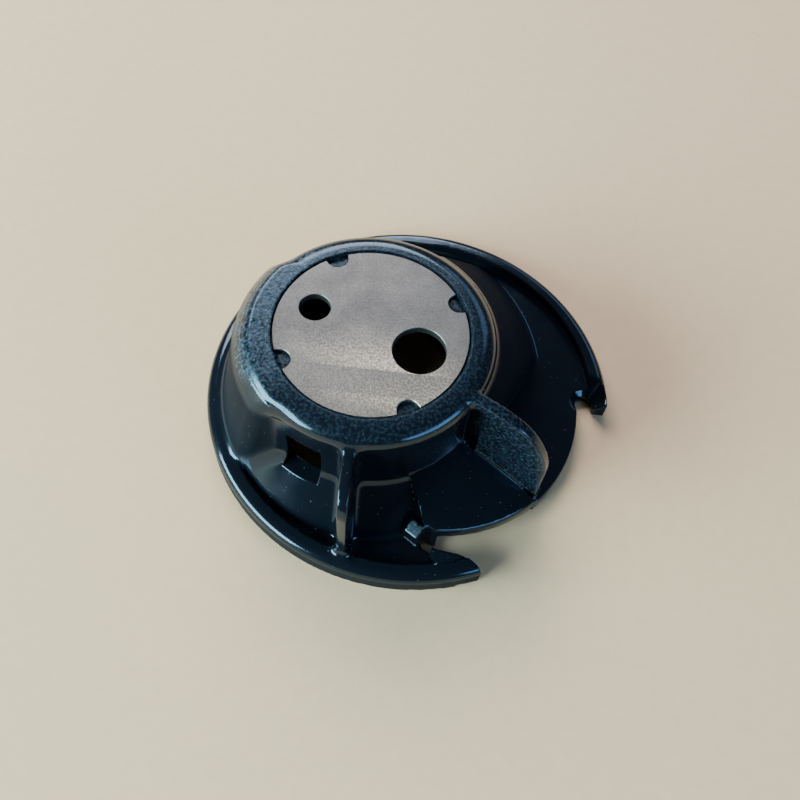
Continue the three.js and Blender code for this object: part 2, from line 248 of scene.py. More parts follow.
def flare_field(x, y, z, base, crown, low, high):
    """Distance to a slanted cone: at each level a circle whose centre and radius are blended."""
    share = (z - low) / (high - low)
    centre_x = base[0] + (crown[0] - base[0]) * share
    centre_y = base[1] + (crown[1] - base[1]) * share
    radius = base[2] + (crown[2] - base[2]) * share
    away_x, away_y = x - centre_x, y - centre_y
    away = np.maximum(np.hypot(away_x, away_y), 1e-6)
    lean = (away_x * (crown[0] - base[0]) + away_y * (crown[1] - base[1])) / away
    slope = (lean + crown[2] - base[2]) / (high - low)
    return (away - radius) / np.sqrt(1 + slope * slope)


def left_skirt_field(x, y, z):
    """The left flare under a rounded top, behind the pocket's end face and left of the open back."""
    crown = (CUP_X, CUP_Y, LEFT_CROWN)
    flare = flare_field(x, y, z, (0.0, 0.0, LEFT_BASE), crown, 0.0, SKIRT_TOP)
    flare = common(flare, z - CASE_HEIGHT + LEFT_SINK, LEFT_SHOULDER)
    face = side_of(x, y, cup_point(CUP_RADIUS, LEFT_END), LEFT_FACE_ANGLE)
    back = -side_of(x, y, CUP, LEFT_START)
    solid = common(common(flare, face, LEFT_FACE_EDGE), back, LEFT_BACK_EDGE)
    return np.maximum(solid, x - CUP_X + LEFT_CUT)


def right_skirt_field(x, y, z):
    """The right flare between its end face beside the fin and the open back."""
    crown = (CUP_X, CUP_Y, RIGHT_CROWN)
    base = (RIGHT_BASE_X, RIGHT_BASE_Y, RIGHT_BASE)
    flare = flare_field(x, y, z, base, crown, FLANGE, SKIRT_TOP)
    flare = common(flare, z - SKIRT_TOP, RIGHT_TOP_EDGE)
    place = cup_point(CUP_RADIUS + RIGHT_FACE_OUT, RIGHT_START)
    solid = common(flare, -side_of(x, y, place, RIGHT_FACE_ANGLE), RIGHT_FACE_EDGE)
    return common(solid, sector(x, y, RIGHT_START, RIGHT_END), RIGHT_BACK_EDGE)


print("skirts spread, mm:", round(LEFT_BASE - LEFT_CROWN, 2), round(RIGHT_BASE - RIGHT_CROWN, 2))

# %% [markdown]
# The thread runs over a sloping deck between the cup and the finger. A rounded fin stands at the
# deck's far end and a plain rib stands in front of the cup. Both webs are slabs: a side view
# given a thickness, with the outer top corner rounded. The fin's top is level at first, then
# falls. A small tilted block sits at the deck's near end, beside the finger's notch.

# %% Deck, fin and rib
DECK_START, DECK_END = -64.0, -28.5
DECK_RISE, DECK_SLOPE, DECK_THICKNESS = 6.5, 0.52, 1.2
SLOT_START, SLOT_END, SLOT_REACH = -31.7, -26.0, 1.2
FIN_ANGLE, FIN_LENGTH, FIN_THICKNESS = -20.7, 8.1, 1.15
FIN_TOP, FIN_FLAT, FIN_SLOPE, FIN_CORNER = CASE_HEIGHT - 0.4, 2.3, 0.594, 3.4
FIN_BEND, FIN_TAIL, FIN_EDGE = 1.5, 1.2, 0.28
WEB_TOP = CASE_HEIGHT - 1.6
RIB_X, RIB_THICKNESS, RIB_CORNER = -4.65, 1.0, 2.4
RIB_INSET, RIB_BACK, RIB_EDGE = 0.3, 9, 0.22
BLOCK, BLOCK_ANGLE, BLOCK_TOP, BLOCK_TILT = (1.85, -15.6), -34.0, 3.4, 0.74
BLOCK_HALF_LENGTH, BLOCK_HALF_WIDTH, BLOCK_EDGE = 0.8, 0.6, 0.12


def deck_cone(r, z, height):
    """Distance to the deck's slope, a cone that falls away from the cup's wall."""
    return (z - height + DECK_SLOPE * (r - CUP_RADIUS)) / math.hypot(1, DECK_SLOPE)


def deck_field(x, y, z):
    """Everything under the slope between the deck's two edges; the hollow is cut out later."""
    r, _ = about_cup(x, y)
    return common(deck_cone(r, z, DECK_RISE), sector(x, y, DECK_START, DECK_END))


def block_field(x, y, z):
    """A small block at the deck's outer corner, its top tilted towards the front left."""
    along = along_of(x, y, BLOCK, BLOCK_ANGLE)
    across = side_of(x, y, BLOCK, BLOCK_ANGLE)
    top = (z - BLOCK_TOP - BLOCK_TILT * across) / math.hypot(1, BLOCK_TILT)
    plan = np.maximum(np.abs(along) - BLOCK_HALF_LENGTH, np.abs(across) - BLOCK_HALF_WIDTH)
    return common(top, plan, BLOCK_EDGE)


def fin_field(x, y, z):
    """A slab that starts level at the thread slot, then falls to a large round corner."""
    root = cup_point(CUP_RADIUS, SLOT_START)
    run = along_of(x, y, root, FIN_ANGLE)
    across = side_of(x, y, root, FIN_ANGLE)
    falling = (z - FIN_TOP + FIN_SLOPE * (run - FIN_FLAT)) / math.hypot(1, FIN_SLOPE)
    top = common(z - FIN_TOP, falling, FIN_BEND)
    outline = common(top, run - FIN_LENGTH, FIN_CORNER)
    outline = np.maximum(outline, -run - FIN_TAIL)
    return common(outline, np.abs(across - FIN_THICKNESS / 2) - FIN_THICKNESS / 2, FIN_EDGE)


def rib_field(x, y, z):
    """A slab from the front of the cup straight out to the rim, its outer corner rounded."""
    end = np.hypot(x, y) - (RIM_RADIUS - RIM_WIDTH + RIB_INSET)
    outline = common(z - WEB_TOP, end, RIB_CORNER)
    outline = np.maximum(outline, y - CUP_Y + RIB_BACK)
    return common(outline, np.abs(x - RIB_X) - RIB_THICKNESS / 2, RIB_EDGE)


print("deck slopes, degrees:", round(math.degrees(math.atan(DECK_SLOPE)), 1))

# %% [markdown]
# In plan the moulding is a disc with a long gap on its front right side. The gap's inner edge is
# one large arc. It ends in a thread notch behind the pointed finger at the front, and in a second
# notch behind a small knob at the right. One field in two dimensions describes all of it.

# %% The outline in plan
GAP_X, GAP_Y, GAP_RADIUS = 1.62, -0.22, 15.76
FINGER_NOTCH = (3.2, -16.2, 0.6)
SIDE_NOTCH = (18.15, 1.33, 0.85)
NOTCH_EDGE, FLARE_START, FLARE_RISE = 0.1, 0.9, 0.5
FINGER_EDGE_Y, FINGER_BACK, FINGER_FILLET = -17.2, 0.4, 1.6
FINGER_SHOULDER, FINGER_SHOULDER_ANGLE, FINGER_SHOULDER_EDGE = (6.81, FINGER_EDGE_Y), -36.4, 0.5
FINGER_TIP, FINGER_TIP_ANGLE, FINGER_TIP_EDGE = (8.3, -18.3), -65.6, 0.3
KNOB_X, KNOB_Y, KNOB_EDGE = 19.05, 0.7, 0.3


def plan_field(x, y):
    """Distance in plan to the moulding's outline, without the rim's own circle."""
    inside_arc = np.hypot(x - GAP_X, y - GAP_Y) - GAP_RADIUS
    behind = SIDE_NOTCH[1] - y
    knob = common(KNOB_Y - y, KNOB_X - x, KNOB_EDGE)
    left = x - FINGER_NOTCH[0] + FINGER_BACK
    shoulder = side_of(x, y, FINGER_SHOULDER, FINGER_SHOULDER_ANGLE)
    finger = common(y - FINGER_EDGE_Y, shoulder, FINGER_SHOULDER_EDGE)
    finger = common(finger, side_of(x, y, FINGER_TIP, FINGER_TIP_ANGLE), FINGER_TIP_EDGE)
    solid = join(join(join(inside_arc, behind), knob), join(left, finger, FINGER_FILLET))
    for notch in (FINGER_NOTCH, SIDE_NOTCH):
        solid = cut(solid, np.hypot(x - notch[0], y - notch[1]) - notch[2], NOTCH_EDGE)
    return solid


def notch_flare_field(x, y, z):
    """A countersink: a cone that opens the top of the side notch, no higher than the rim."""
    away = np.hypot(x - SIDE_NOTCH[0], y - SIDE_NOTCH[1])
    cone = (away - SIDE_NOTCH[2] - (z - FLARE_START)) / math.sqrt(2)
    return np.maximum(cone, z - RIM_HEIGHT - FLARE_RISE)


print("middle of the gap to the plastic, mm:", round(float(plan_field(13.0, -13.0)), 2))

# %% [markdown]
# What is taken away: the bobbin's bore with the ledge that carries the plate, the plate's seat
# with a peg for each of its notches, the window, the thread's slot, the thread's hole under the
# spring, the hollow under the deck, and the two screw holes.

# %% Cuts
PEG_ANGLES = [28.0, 118.0, 208.0, 298.0]
PEG_RADIUS, PEG_OFFSET, PEG_SINK, PEG_EDGE = 0.97, 8.7, 0.35, 0.04
SEAT_GAP, LEAD_IN, CUT_REACH = 0.12, 0.35, 1
WINDOW = (-124.5, -106.5, 5.2, 10.0)
THREAD_HOLE, THREAD_HOLE_HALF = (71.0, 75.0), 2.0
HOLLOW_START, HOLLOW_WALL, HOLLOW_EDGE = 3.8, 0.5, 0.3
BOSS, BOSS_MARGIN, BOSS_EDGE = (101.0, 141.0, 12.5), 0.5, 0.2
SCREW_ANGLES = {"spring_fixing_screw": 132.0, "tension_adjusting_screw": 109.0}
SHANK_HOLE, SHANK_HOLE_FLOOR = 0.875, 0.2


def boss_field(x, y, z):
    """The thick pad on the back of the cup that the screws go into."""
    r, _ = about_cup(x, y)
    tall = np.abs(z - SPRING_MIDDLE) - (SPRING_TOP - SPRING_BOTTOM) / 2 - BOSS_MARGIN
    pad = common(r - BOSS[2], tall, BOSS_EDGE)
    return common(pad, sector(x, y, BOSS[0], BOSS[1]), BOSS_EDGE)


def bore_field(x, y, z):
    """The bobbin's bore up to the ledge, and the opening through the ledge."""
    r, _ = about_cup(x, y)
    lead_in = r - BORE_RADIUS - np.maximum(LEAD_IN - z, 0)
    return join(np.maximum(lead_in, z - LEDGE_BOTTOM), r - LEDGE_RADIUS)


def seat_field(x, y, z):
    """The plate's seat, with four pegs left standing in it."""
    r, _ = about_cup(x, y)
    seat = np.maximum(r - PLATE_RADIUS - SEAT_GAP, LEDGE_TOP - z)
    for angle in PEG_ANGLES:
        px, py = cup_point(PEG_OFFSET, angle)
        peg = common(np.hypot(x - px, y - py) - PEG_RADIUS, z - PLATE_TOP + PEG_SINK, PEG_EDGE)
        seat = np.maximum(seat, -peg)
    return seat


def wall_cuts_field(x, y, z):
    """The window, the thread's slot and the thread's hole, each a slice of a ring."""
    r, _ = about_cup(x, y)
    window = np.maximum(sector(x, y, WINDOW[0], WINDOW[1]), np.maximum(WINDOW[2] - z, z - WINDOW[3]))
    window = np.maximum(window, r - CUP_RADIUS - CUT_REACH)
    slot = np.maximum(sector(x, y, SLOT_START, SLOT_END), z - WEB_TOP)
    slot = np.maximum(slot, r - CUP_RADIUS - SLOT_REACH)
    hole = np.maximum(sector(x, y, *THREAD_HOLE), np.abs(z - SPRING_MIDDLE) - THREAD_HOLE_HALF)
    hole = np.maximum(hole, r - CUP_RADIUS - CUT_REACH)
    return np.maximum(join(join(window, slot), hole), BORE_RADIUS - CUT_REACH - r)


def deck_hollow_field(x, y, z):
    """The channel under the deck, open towards the mouth and the gap."""
    r, _ = about_cup(x, y)
    under = deck_cone(r, z, DECK_RISE - DECK_THICKNESS)
    under = common(under, sector(x, y, DECK_START + HOLLOW_START, DECK_END), HOLLOW_EDGE)
    return np.maximum(under, CUP_RADIUS + HOLLOW_WALL - r)


def screw_hole_field(x, y, z, angle):
    """A radial hole at the height of the spring's middle, blind at the bore."""
    run = along_of(x, y, CUP, angle)
    across = np.hypot(side_of(x, y, CUP, angle), z - SPRING_MIDDLE)
    return np.maximum(across - SHANK_HOLE, BORE_RADIUS + SHANK_HOLE_FLOOR - run)


print("pegs at, mm:", [[round(float(v), 2) for v in cup_point(PEG_OFFSET, a)] for a in PEG_ANGLES])

# %% [markdown]
# Now the whole moulding is one function. The order matters: webs join the cup and the floor with
# fillets first, and the crisp cuts come last, so that no fillet creeps into them.

# %% The whole moulding
JOINED = [(foot_field, 0.2), (rim_field, 0.25), (cup_field, 0.5), (left_skirt_field, 1.3),
          (right_skirt_field, 0.22), (deck_field, 0.0), (block_field, 0.1), (rib_field, 1.1),
          (fin_field, 0.5), (boss_field, 0.3)]
REMOVED = [(notch_flare_field, 0.08), (deck_hollow_field, 0.1), (bore_field, 0.06),
           (seat_field, 0.0), (wall_cuts_field, 0.08)]
SIDE_EDGE, TOP_EDGE, PLAN_EDGE, SCREW_HOLE_EDGE, MOUTH_EDGE = 0.1, 0.05, 0.22, 0.05, 0.15


def case_field(x, y, z):
    """Everything joined to the flange with its fillet, kept inside the outline, then cut."""
    solid = flange_field(x, y, z)
    for field, fillet in JOINED:
        solid = join(solid, field(x, y, z), fillet)
    solid = common(solid, np.hypot(x, y) - RIM_RADIUS, SIDE_EDGE)
    solid = common(solid, z - CASE_HEIGHT, TOP_EDGE)
    solid = common(solid, plan_field(x, y), PLAN_EDGE)
    for field, edge in REMOVED:
        solid = cut(solid, field(x, y, z), edge)
    for angle in SCREW_ANGLES.values():
        solid = cut(solid, screw_hole_field(x, y, z, angle), SCREW_HOLE_EDGE)
    return common(solid, -z, MOUTH_EDGE)


print("parts joined", len(JOINED) + 1, "and cut away", len(REMOVED) + len(SCREW_ANGLES))

# %% [markdown]
# A field has no faces yet. Dual contouring finds them: every grid edge whose ends lie on
# different sides crosses the surface, each cell with crossings gets one vertex where the planes
# through them meet, and every crossing edge becomes a quad of its four cells. Unlike a plain
# voxel remesh this keeps edges crisp, because the vertex may sit right in a corner.

# %% From a field to a mesh
HOLD_TO_MIDDLE, BOX_MARGIN = 0.03, 2.5


def slope_of(field, points, step=0.004):
    """The field's unit gradient, from four samples at the corners of a small tetrahedron."""
    corners = np.array([[1, -1, -1], [-1, -1, 1], [-1, 1, -1], [1, 1, 1]], float)
    total = np.zeros_like(points)
    for corner in corners:
        moved = points + corner * step
        total += field(moved[:, 0], moved[:, 1], moved[:, 2])[:, None] * corner
    return total / np.maximum(np.linalg.norm(total, axis=1, keepdims=True), 1e-12)


def crossings(value, origin, pitch, axis):
    """Grid edges along an axis that cross the surface: their cells, places and directions."""
    low = np.take(value, range(value.shape[axis] - 1), axis)
    high = np.take(value, range(1, value.shape[axis]), axis)
    index = np.argwhere((low < 0) != (high < 0))
    key = tuple(index.T)
    share = low[key] / (low[key] - high[key])
    points = origin + pitch * index
    points[:, axis] += pitch * share
    return index, points, low[key] < 0


def contour(field, low, high, pitch):
    """Dual contouring of a field in a box: vertices, and triangles that face outwards."""
    origin = np.array(low, float)
    shape = [int(math.ceil((h - l) / pitch)) + 1 for l, h in zip(low, high)]
    axes = [(origin[i] + pitch * np.arange(n)).astype(np.float32) for i, n in enumerate(shape)]
    value = field(*np.meshgrid(*axes, indexing="ij"))
    cell_lists, point_lists, quads = [], [], []
    for axis in range(3):
        index, points, outward = crossings(value, origin, pitch, axis)
        first, second = (axis + 1) % 3, (axis + 2) % 3
        around = []
        for step_first, step_second in ((-1, -1), (0, -1), (0, 0), (-1, 0)):
            cell = index.copy()
            cell[:, first] += step_first
            cell[:, second] += step_second
            around.append(np.ravel_multi_index(tuple(cell.T), shape))
        around = np.stack(around, 1)
        quads.append(np.where(outward[:, None], around, around[:, ::-1]))
        cell_lists.append(around.ravel())
        point_lists.append(np.repeat(points, 4, axis=0))
    cells, points = np.concatenate(cell_lists), np.concatenate(point_lists)
    normals = slope_of(field, points[::4])
    active, place = np.unique(cells, return_inverse=True)
    vertices = meeting_points(points, np.repeat(normals, 4, axis=0), place, len(active))
    corner = origin + pitch * np.stack(np.unravel_index(active, shape), 1)
    vertices = np.clip(vertices, corner, corner + pitch)
    quads = np.searchsorted(active, np.concatenate(quads))
    return vertices, split_quads(field, vertices, quads)


def meeting_points(points, normals, place, count):
    """For each cell, the point nearest to all its tangent planes, held to their middle a little."""
    def summed(weights):
        return np.bincount(place, weights, count)

    number = summed(np.ones(len(place)))
    middle = np.stack([summed(points[:, i]) for i in range(3)], 1) / number[:, None]
    offset = np.einsum("ij,ij->i", normals, points - middle[place])
    matrix = np.empty((count, 3, 3))
    vector = np.empty((count, 3, 1))
    for i in range(3):
        vector[:, i, 0] = summed(normals[:, i] * offset) / number
        for j in range(3):
            matrix[:, i, j] = summed(normals[:, i] * normals[:, j]) / number
    matrix += np.eye(3) * HOLD_TO_MIDDLE
    return middle + np.linalg.solve(matrix, vector)[:, :, 0]


def split_quads(field, vertices, quads):
    """Each quad becomes two triangles along the diagonal that lies nearer to the surface."""
    def miss(a, b):
        middle = (vertices[quads[:, a]] + vertices[quads[:, b]]) / 2
        return np.abs(field(middle[:, 0], middle[:, 1], middle[:, 2]))

    straight = miss(0, 2) <= miss(1, 3)
    one = np.concatenate([quads[straight][:, [0, 1, 2]], quads[straight][:, [0, 2, 3]]])
    other = np.concatenate([quads[~straight][:, [0, 1, 3]], quads[~straight][:, [1, 2, 3]]])
    return np.concatenate([one, other])


def ball_field(x, y, z):
    """A ball of radius one, to try the contouring on."""
    return np.sqrt(x * x + y * y + z * z) - 1


ball_points, ball_faces = contour(ball_field, (-1.3, -1.3, -1.3), (1.3, 1.3, 1.3), 0.2)
ball_error = float(np.abs(ball_field(*ball_points.T)).max())
print("test ball:", len(ball_faces), "triangles, off by at most", round(ball_error, 4), "mm")

# %% [markdown]
# The contoured mesh has many more triangles on its flats than it needs, so a Decimate modifier
# thins it. The shading then comes from the field itself: each face corner asks for the slope
# just inside its own face, so round surfaces are perfectly smooth and edges stay sharp.

# %% A field becomes a piece
CORNER_INSET = 0.2
CASE_GRID, LEAF_GRID, SCREW_GRID = (0.21, 0.36, 0.5), (0.1, 0.16, 0.4), (0.07, 0.12, 0.5)


def corner_normals(mesh, field):
    """Unit normals for all face corners, each read a fifth of the way towards the face's middle."""
    mesh.calc_loop_triangles()
    count = len(mesh.polygons)
    corners = np.empty(count * 3, np.int32)
    mesh.loops.foreach_get("vertex_index", corners)
    places = np.empty(len(mesh.vertices) * 3, np.float32)
    mesh.vertices.foreach_get("co", places)
    triangles = places.reshape(-1, 3)[corners].reshape(count, 3, 3).astype(float) / MM
    middle = triangles.mean(axis=1, keepdims=True)
    inside = triangles * (1 - CORNER_INSET) + middle * CORNER_INSET
    return slope_of(field, inside.reshape(-1, 3))


def piece_from_field(name, field, box, fine, coarse, keep):
    """Contours a field in its node's box, in millimetres, thins the mesh to a share and shades it."""
    pitch, keep = ((fine, keep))
    low, high = np.array(box)
    margin = BOX_MARGIN * pitch
    vertices, triangles = contour(field, low - margin, high + margin, pitch)
    vertices = np.clip(vertices, low, high)
    mesh = bpy.data.meshes.new(name)
    mesh.from_pydata((vertices * MM).tolist(), [], triangles.tolist())
    piece = new_object(name, mesh)
    if keep < 1:
        thin = piece.modifiers.new("thin", "DECIMATE")
        thin.ratio = keep
        thinned = piece.evaluated_get(bpy.context.evaluated_depsgraph_get())
        done = bpy.data.meshes.new_from_object(thinned)
        piece.modifiers.clear()
        piece.data = done
        done.name = name
    mesh = piece.data
    mesh.polygons.foreach_set("use_smooth", np.ones(len(mesh.polygons), bool))
    mesh.normals_split_custom_set(corner_normals(mesh, field).tolist())
    print(name, "triangles", len(triangles), "kept", len(mesh.polygons))
    return piece


case = piece_from_field("moulded_case", case_field, case_box, *CASE_GRID)

# %% [markdown]
# The plate is a flat sheet of steel with four round notches and two holes, all with a tiny
# chamfer from the press. Its outline is worked out as one closed loop of points; the same
# chamfer profile is carried along the loop and along both holes, and the flat faces between the
# loops are filled with triangles.

# %% Loops in plan
NOTCH_RADIUS = 1.0
SMALL_HOLE = (5.7, 161.0, 1.45)
BIG_HOLE = (4.75, -19.0, 2.45)


def circle_loop(x, y, radius, count=96):
    """Points evenly round a circle, counter-clockwise."""
    turn = np.linspace(0, 2 * np.pi, count, endpoint=False)
    return np.stack([x + radius * np.cos(turn), y + radius * np.sin(turn)], 1)


def plate_loop():
    """The plate's circle, pushed in wherever a notch's circle is nearer to the middle."""
    turn = np.radians(np.arange(0, 360, 0.5))
    radius = np.full_like(turn, PLATE_RADIUS)
    for angle in PEG_ANGLES:
        away = turn - math.radians(angle)
        sideways = PEG_OFFSET * np.sin(away)
        reach = np.sqrt(np.maximum(NOTCH_RADIUS**2 - sideways**2, 0))
        inner = PEG_OFFSET * np.cos(away) - reach
        bitten = (np.abs(sideways) < NOTCH_RADIUS) & (np.cos(away) > 0)
        radius = np.where(bitten, np.minimum(radius, inner), radius)
    return np.stack([CUP_X + radius * np.cos(turn), CUP_Y + radius * np.sin(turn)], 1)


def inwards(loop, depth):
    """The loop moved to its left by a depth, along the normal between its neighbours."""
    along = np.roll(loop, -1, 0) - np.roll(loop, 1, 0)
    along /= np.linalg.norm(along, axis=1, keepdims=True)
    return loop + depth * np.stack([-along[:, 1], along[:, 0]], 1)


print("plate outline points", len(plate_loop()))

# %% [markdown]
# A wall is a grid: one row of points for each step of the profile, one column for each point of
# the loop. The chamfer is two rows a few hundredths of a millimetre apart.

# %% Build the plate
PRESS_CHAMFER = 0.05


def wall_rows(loop, bottom, top, chamfer):
    """Four rows of points up a wall: chamfer in at the bottom, straight, chamfer in at the top."""
    eased = inwards(loop, chamfer)
    levels = [(eased, bottom), (loop, bottom + chamfer), (loop, top - chamfer), (eased, top)]
    return np.array([np.column_stack([plan, np.full(len(plan), z)]) for plan, z in levels])


def grid_faces(rows, columns, start=0):
    """Quads of a grid whose columns close on themselves."""
    row, column = np.meshgrid(np.arange(rows - 1), np.arange(columns), indexing="ij")
    after = (column + 1) % columns
    quad = [row * columns + column, row * columns + after, (row + 1) * columns + after,
            (row + 1) * columns + column]
    return np.stack([q.ravel() for q in quad], 1) + start


def pierced_sheet(name, outer, holes, bottom, top, chamfer):
    """A sheet between two levels: walls along every loop, and flat faces between the loops."""
    walls = [wall_rows(loop, bottom, top, chamfer) for loop in [outer, *[h[::-1] for h in holes]]]
    vertices, faces, start = [], [], 0
    lids = {0: [], 3: []}
    for wall in walls:
        rows, columns, _ = wall.shape
        vertices.append(wall.reshape(-1, 3))
        faces += grid_faces(rows, columns, start).tolist()
        for row in lids:
            lids[row].append(start + row * columns + np.arange(columns))
        start += rows * columns
    vertices = np.concatenate(vertices)
    for row, loops in lids.items():
        order = np.concatenate(loops)
        for face in tessellate_polygon([vertices[loop].tolist() for loop in loops]):
            a, b, c = vertices[order[list(face)]]
            upwards = np.cross(b - a, c - a)[2] > 0
            face = face if upwards == (row == 3) else face[::-1]
            faces.append([int(order[i]) for i in face])
    return new_piece(name, vertices, faces)


def new_piece(name, vertices, faces, smooth_below=35):
    """A mesh object from millimetre points, smooth except across edges sharper than an angle."""
    mesh = bpy.data.meshes.new(name)
    mesh.from_pydata((np.asarray(vertices) * MM).tolist(), [], faces)
    mesh.polygons.foreach_set("use_smooth", np.ones(len(mesh.polygons), bool))
    mesh.set_sharp_from_angle(angle=math.radians(smooth_below))
    print(name, "faces", len(mesh.polygons))
    return new_object(name, mesh)


hole_loops = [circle_loop(*cup_point(offset, angle), radius)
              for offset, angle, radius in (SMALL_HOLE, BIG_HOLE)]
plate = pierced_sheet("steel_plate", plate_loop(), hole_loops, PLATE_BOTTOM, PLATE_TOP, PRESS_CHAMFER)

# %% [markdown]
# The leaf spring is a strip of spring steel. It lies on the boss under both screws, steps in to
# the cup's wall, where it pinches the thread, and turns out at its free end so that thread can
# slip under. It is a rounded rectangle carried along that line, in the same places as the
# packed leaf, with its free end tapered to a rounded tongue.

# %% Leaf spring
SPRING_THICKNESS, SPRING_SEAT = 0.25, 0.1
SPRING_FREE, SPRING_FIXED, SPRING_CONTACT = 67.0, 139.0, 84.0
SPRING_LIP, SPRING_LIP_SPAN = 0.7, 5.0
LEAF_TONGUE, LEAF_CORNER, LEAF_HOLE, LEAF_EDGE = 1.6, 0.5, 1.0, 0.06
LEAF_ANGLES = np.linspace(60, 145, 600)


def smooth_step(value, low, high):
    """From 0 to 1 between two limits, level at both ends."""
    share = np.clip((value - low) / (high - low), 0, 1)
    return share * share * (3 - 2 * share)


def leaf_radius(angle):
    """The leaf's inner radius: on the boss, in against the wall, and out at the lip."""
    seat, wall = BOSS[2] + SPRING_SEAT, CUP_RADIUS + SPRING_SEAT
    inward = smooth_step(angle, SPRING_CONTACT, BOSS[0] - 1)
    lip = SPRING_LIP * smooth_step(SPRING_FREE + SPRING_LIP_SPAN - angle, 0, SPRING_LIP_SPAN)
    return wall + (seat - wall) * inward + lip


def leaf_field(x, y, z):
    """The strip as a field, so that its holes, its tongue and its rounded edges are cut in turn."""
    r, angle = about_cup(x, y)
    inner = leaf_radius(angle)
    sheet = np.abs(r - inner - SPRING_THICKNESS / 2) - SPRING_THICKNESS / 2
    steep = np.gradient(leaf_radius(LEAF_ANGLES), np.radians(LEAF_ANGLES))
    lean = np.interp(angle, LEAF_ANGLES, steep) / np.maximum(r, 1)
    sheet = sheet / np.sqrt(1 + lean * lean)
    reach = (SPRING_TOP - SPRING_BOTTOM) / 2
    low_end = (SPRING_FREE - angle) * math.pi / 180 * BOSS[2]
    high_end = (angle - SPRING_FIXED) * math.pi / 180 * BOSS[2]
    strip = common(np.abs(z - SPRING_MIDDLE) - reach, low_end, LEAF_TONGUE)
    strip = common(strip, high_end, LEAF_CORNER)
    for hole in SCREW_ANGLES.values():
        across = np.hypot(side_of(x, y, CUP, hole), z - SPRING_MIDDLE)
        strip = cut(strip, across - LEAF_HOLE)
    return common(strip, sheet, LEAF_EDGE)


spring = piece_from_field("leaf_spring", leaf_field, spring_box, *LEAF_GRID)

# %% [markdown]
# Both screws are turned from rod: a shank, a cheese head with a rounded rim, and a sawn slot.
# The slot isn't a turned shape, so each screw is a small field as well: two cylinders joined,
# with a bar cut out. The adjusting screw's head is a little taller. Both slots lie level at rest.

# %% Screws
HEAD_HEIGHTS = {"spring_fixing_screw": 0.8, "tension_adjusting_screw": 1.0}
SHANK_RADIUS, HEAD_RADIUS, HEAD_GAP, SCREW_LENGTH = 0.75, 1.4, 0.25, 2.1
SCREW_SLOT_WIDTH, SCREW_SLOT_DEPTH, SCREW_SLOT_EDGE = 0.4, 0.45, 0.05
HEAD_EDGE, HEAD_LOWER_EDGE, HEAD_OVERLAP, HEAD_FILLET = 0.22, 0.08, 0.3, 0.05
THREAD_DEPTH, THREAD_PITCH, SHANK_TIP_EDGE = 0.05, 0.35, 0.1


def screw_field(angle, head_height):
    """Returns the field of one screw that points outwards at an angle about the cup."""
    seat = BOSS[2] + SPRING_SEAT + SPRING_THICKNESS + HEAD_GAP

    def field(x, y, z):
        run = along_of(x, y, CUP, angle)
        across = np.hypot(side_of(x, y, CUP, angle), z - SPRING_MIDDLE)
        head = common(across - HEAD_RADIUS, run - seat - head_height, HEAD_EDGE)
        head = common(head, seat - run, HEAD_LOWER_EDGE)
        thread = SHANK_RADIUS - THREAD_DEPTH + THREAD_DEPTH * np.cos(2 * np.pi * run / THREAD_PITCH)
        shank = common(across - thread, seat - SCREW_LENGTH - run, SHANK_TIP_EDGE)
        shank = np.maximum(shank, run - seat - HEAD_OVERLAP)
        floor = seat + head_height - SCREW_SLOT_DEPTH
        slot = np.maximum(np.abs(z - SPRING_MIDDLE) - SCREW_SLOT_WIDTH / 2, floor - run)
        return cut(join(head, shank, HEAD_FILLET), slot, SCREW_SLOT_EDGE)

    return field


screws = {}
for node, angle in SCREW_ANGLES.items():
    node_box = [np.array(corner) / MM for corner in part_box(node)]
    fine_name = node.replace("_screw", "_cheese_head")
    head_field = screw_field(angle, HEAD_HEIGHTS[node])
    screws[node] = piece_from_field(fine_name, head_field, node_box, *SCREW_GRID)

# %% [markdown]
# Every finish starts the same way: a Principled surface, and noises read in object space, so
# that their size is in real millimetres and they stay put when the camera moves. These helpers
# name what the finishes below are made of: a noise of a given size, a range that turns it into
# a roughness, a blend of two colours, a mask stored on the mesh, and a bump.

# %% Finish helpers
def new_finish(name, colour, metallic, roughness):
    """A material with its Principled node, and the object coordinates that its noises read."""
    material = bpy.data.materials.new(name)
    material.use_nodes = True
    tree = material.node_tree
    surface = tree.nodes["Principled BSDF"]
    surface.inputs["Base Color"].default_value = (*colour, 1)
    surface.inputs["Metallic"].default_value = metallic
    surface.inputs["Roughness"].default_value = roughness
    place = tree.nodes.new("ShaderNodeTexCoord").outputs["Object"]
    return material, tree, surface, place


def noise(tree, place, size, detail=2.0, stretch=(1, 1, 1), turn=0.0):
    """Noise whose features are about size millimetres across, drawn out by stretch."""
    mapping = tree.nodes.new("ShaderNodeMapping")
    mapping.inputs["Scale"].default_value = [1 / (size * MM * s) for s in stretch]
    mapping.inputs["Rotation"].default_value = (0, 0, turn)
    tree.links.new(place, mapping.inputs["Vector"])
    texture = tree.nodes.new("ShaderNodeTexNoise")
    texture.inputs["Scale"].default_value = 1.0
    texture.inputs["Detail"].default_value = detail
    tree.links.new(mapping.outputs["Vector"], texture.inputs["Vector"])
    return texture.outputs["Fac"]


def ranged(tree, value, low, high, out_low, out_high):
    """A value between two limits mapped on to two others, and held there outside them."""
    node = tree.nodes.new("ShaderNodeMapRange")
    limits = {"From Min": low, "From Max": high, "To Min": out_low, "To Max": out_high}
    for name, number in limits.items():
        node.inputs[name].default_value = number
    tree.links.new(value, node.inputs["Value"])
    return node.outputs["Result"]


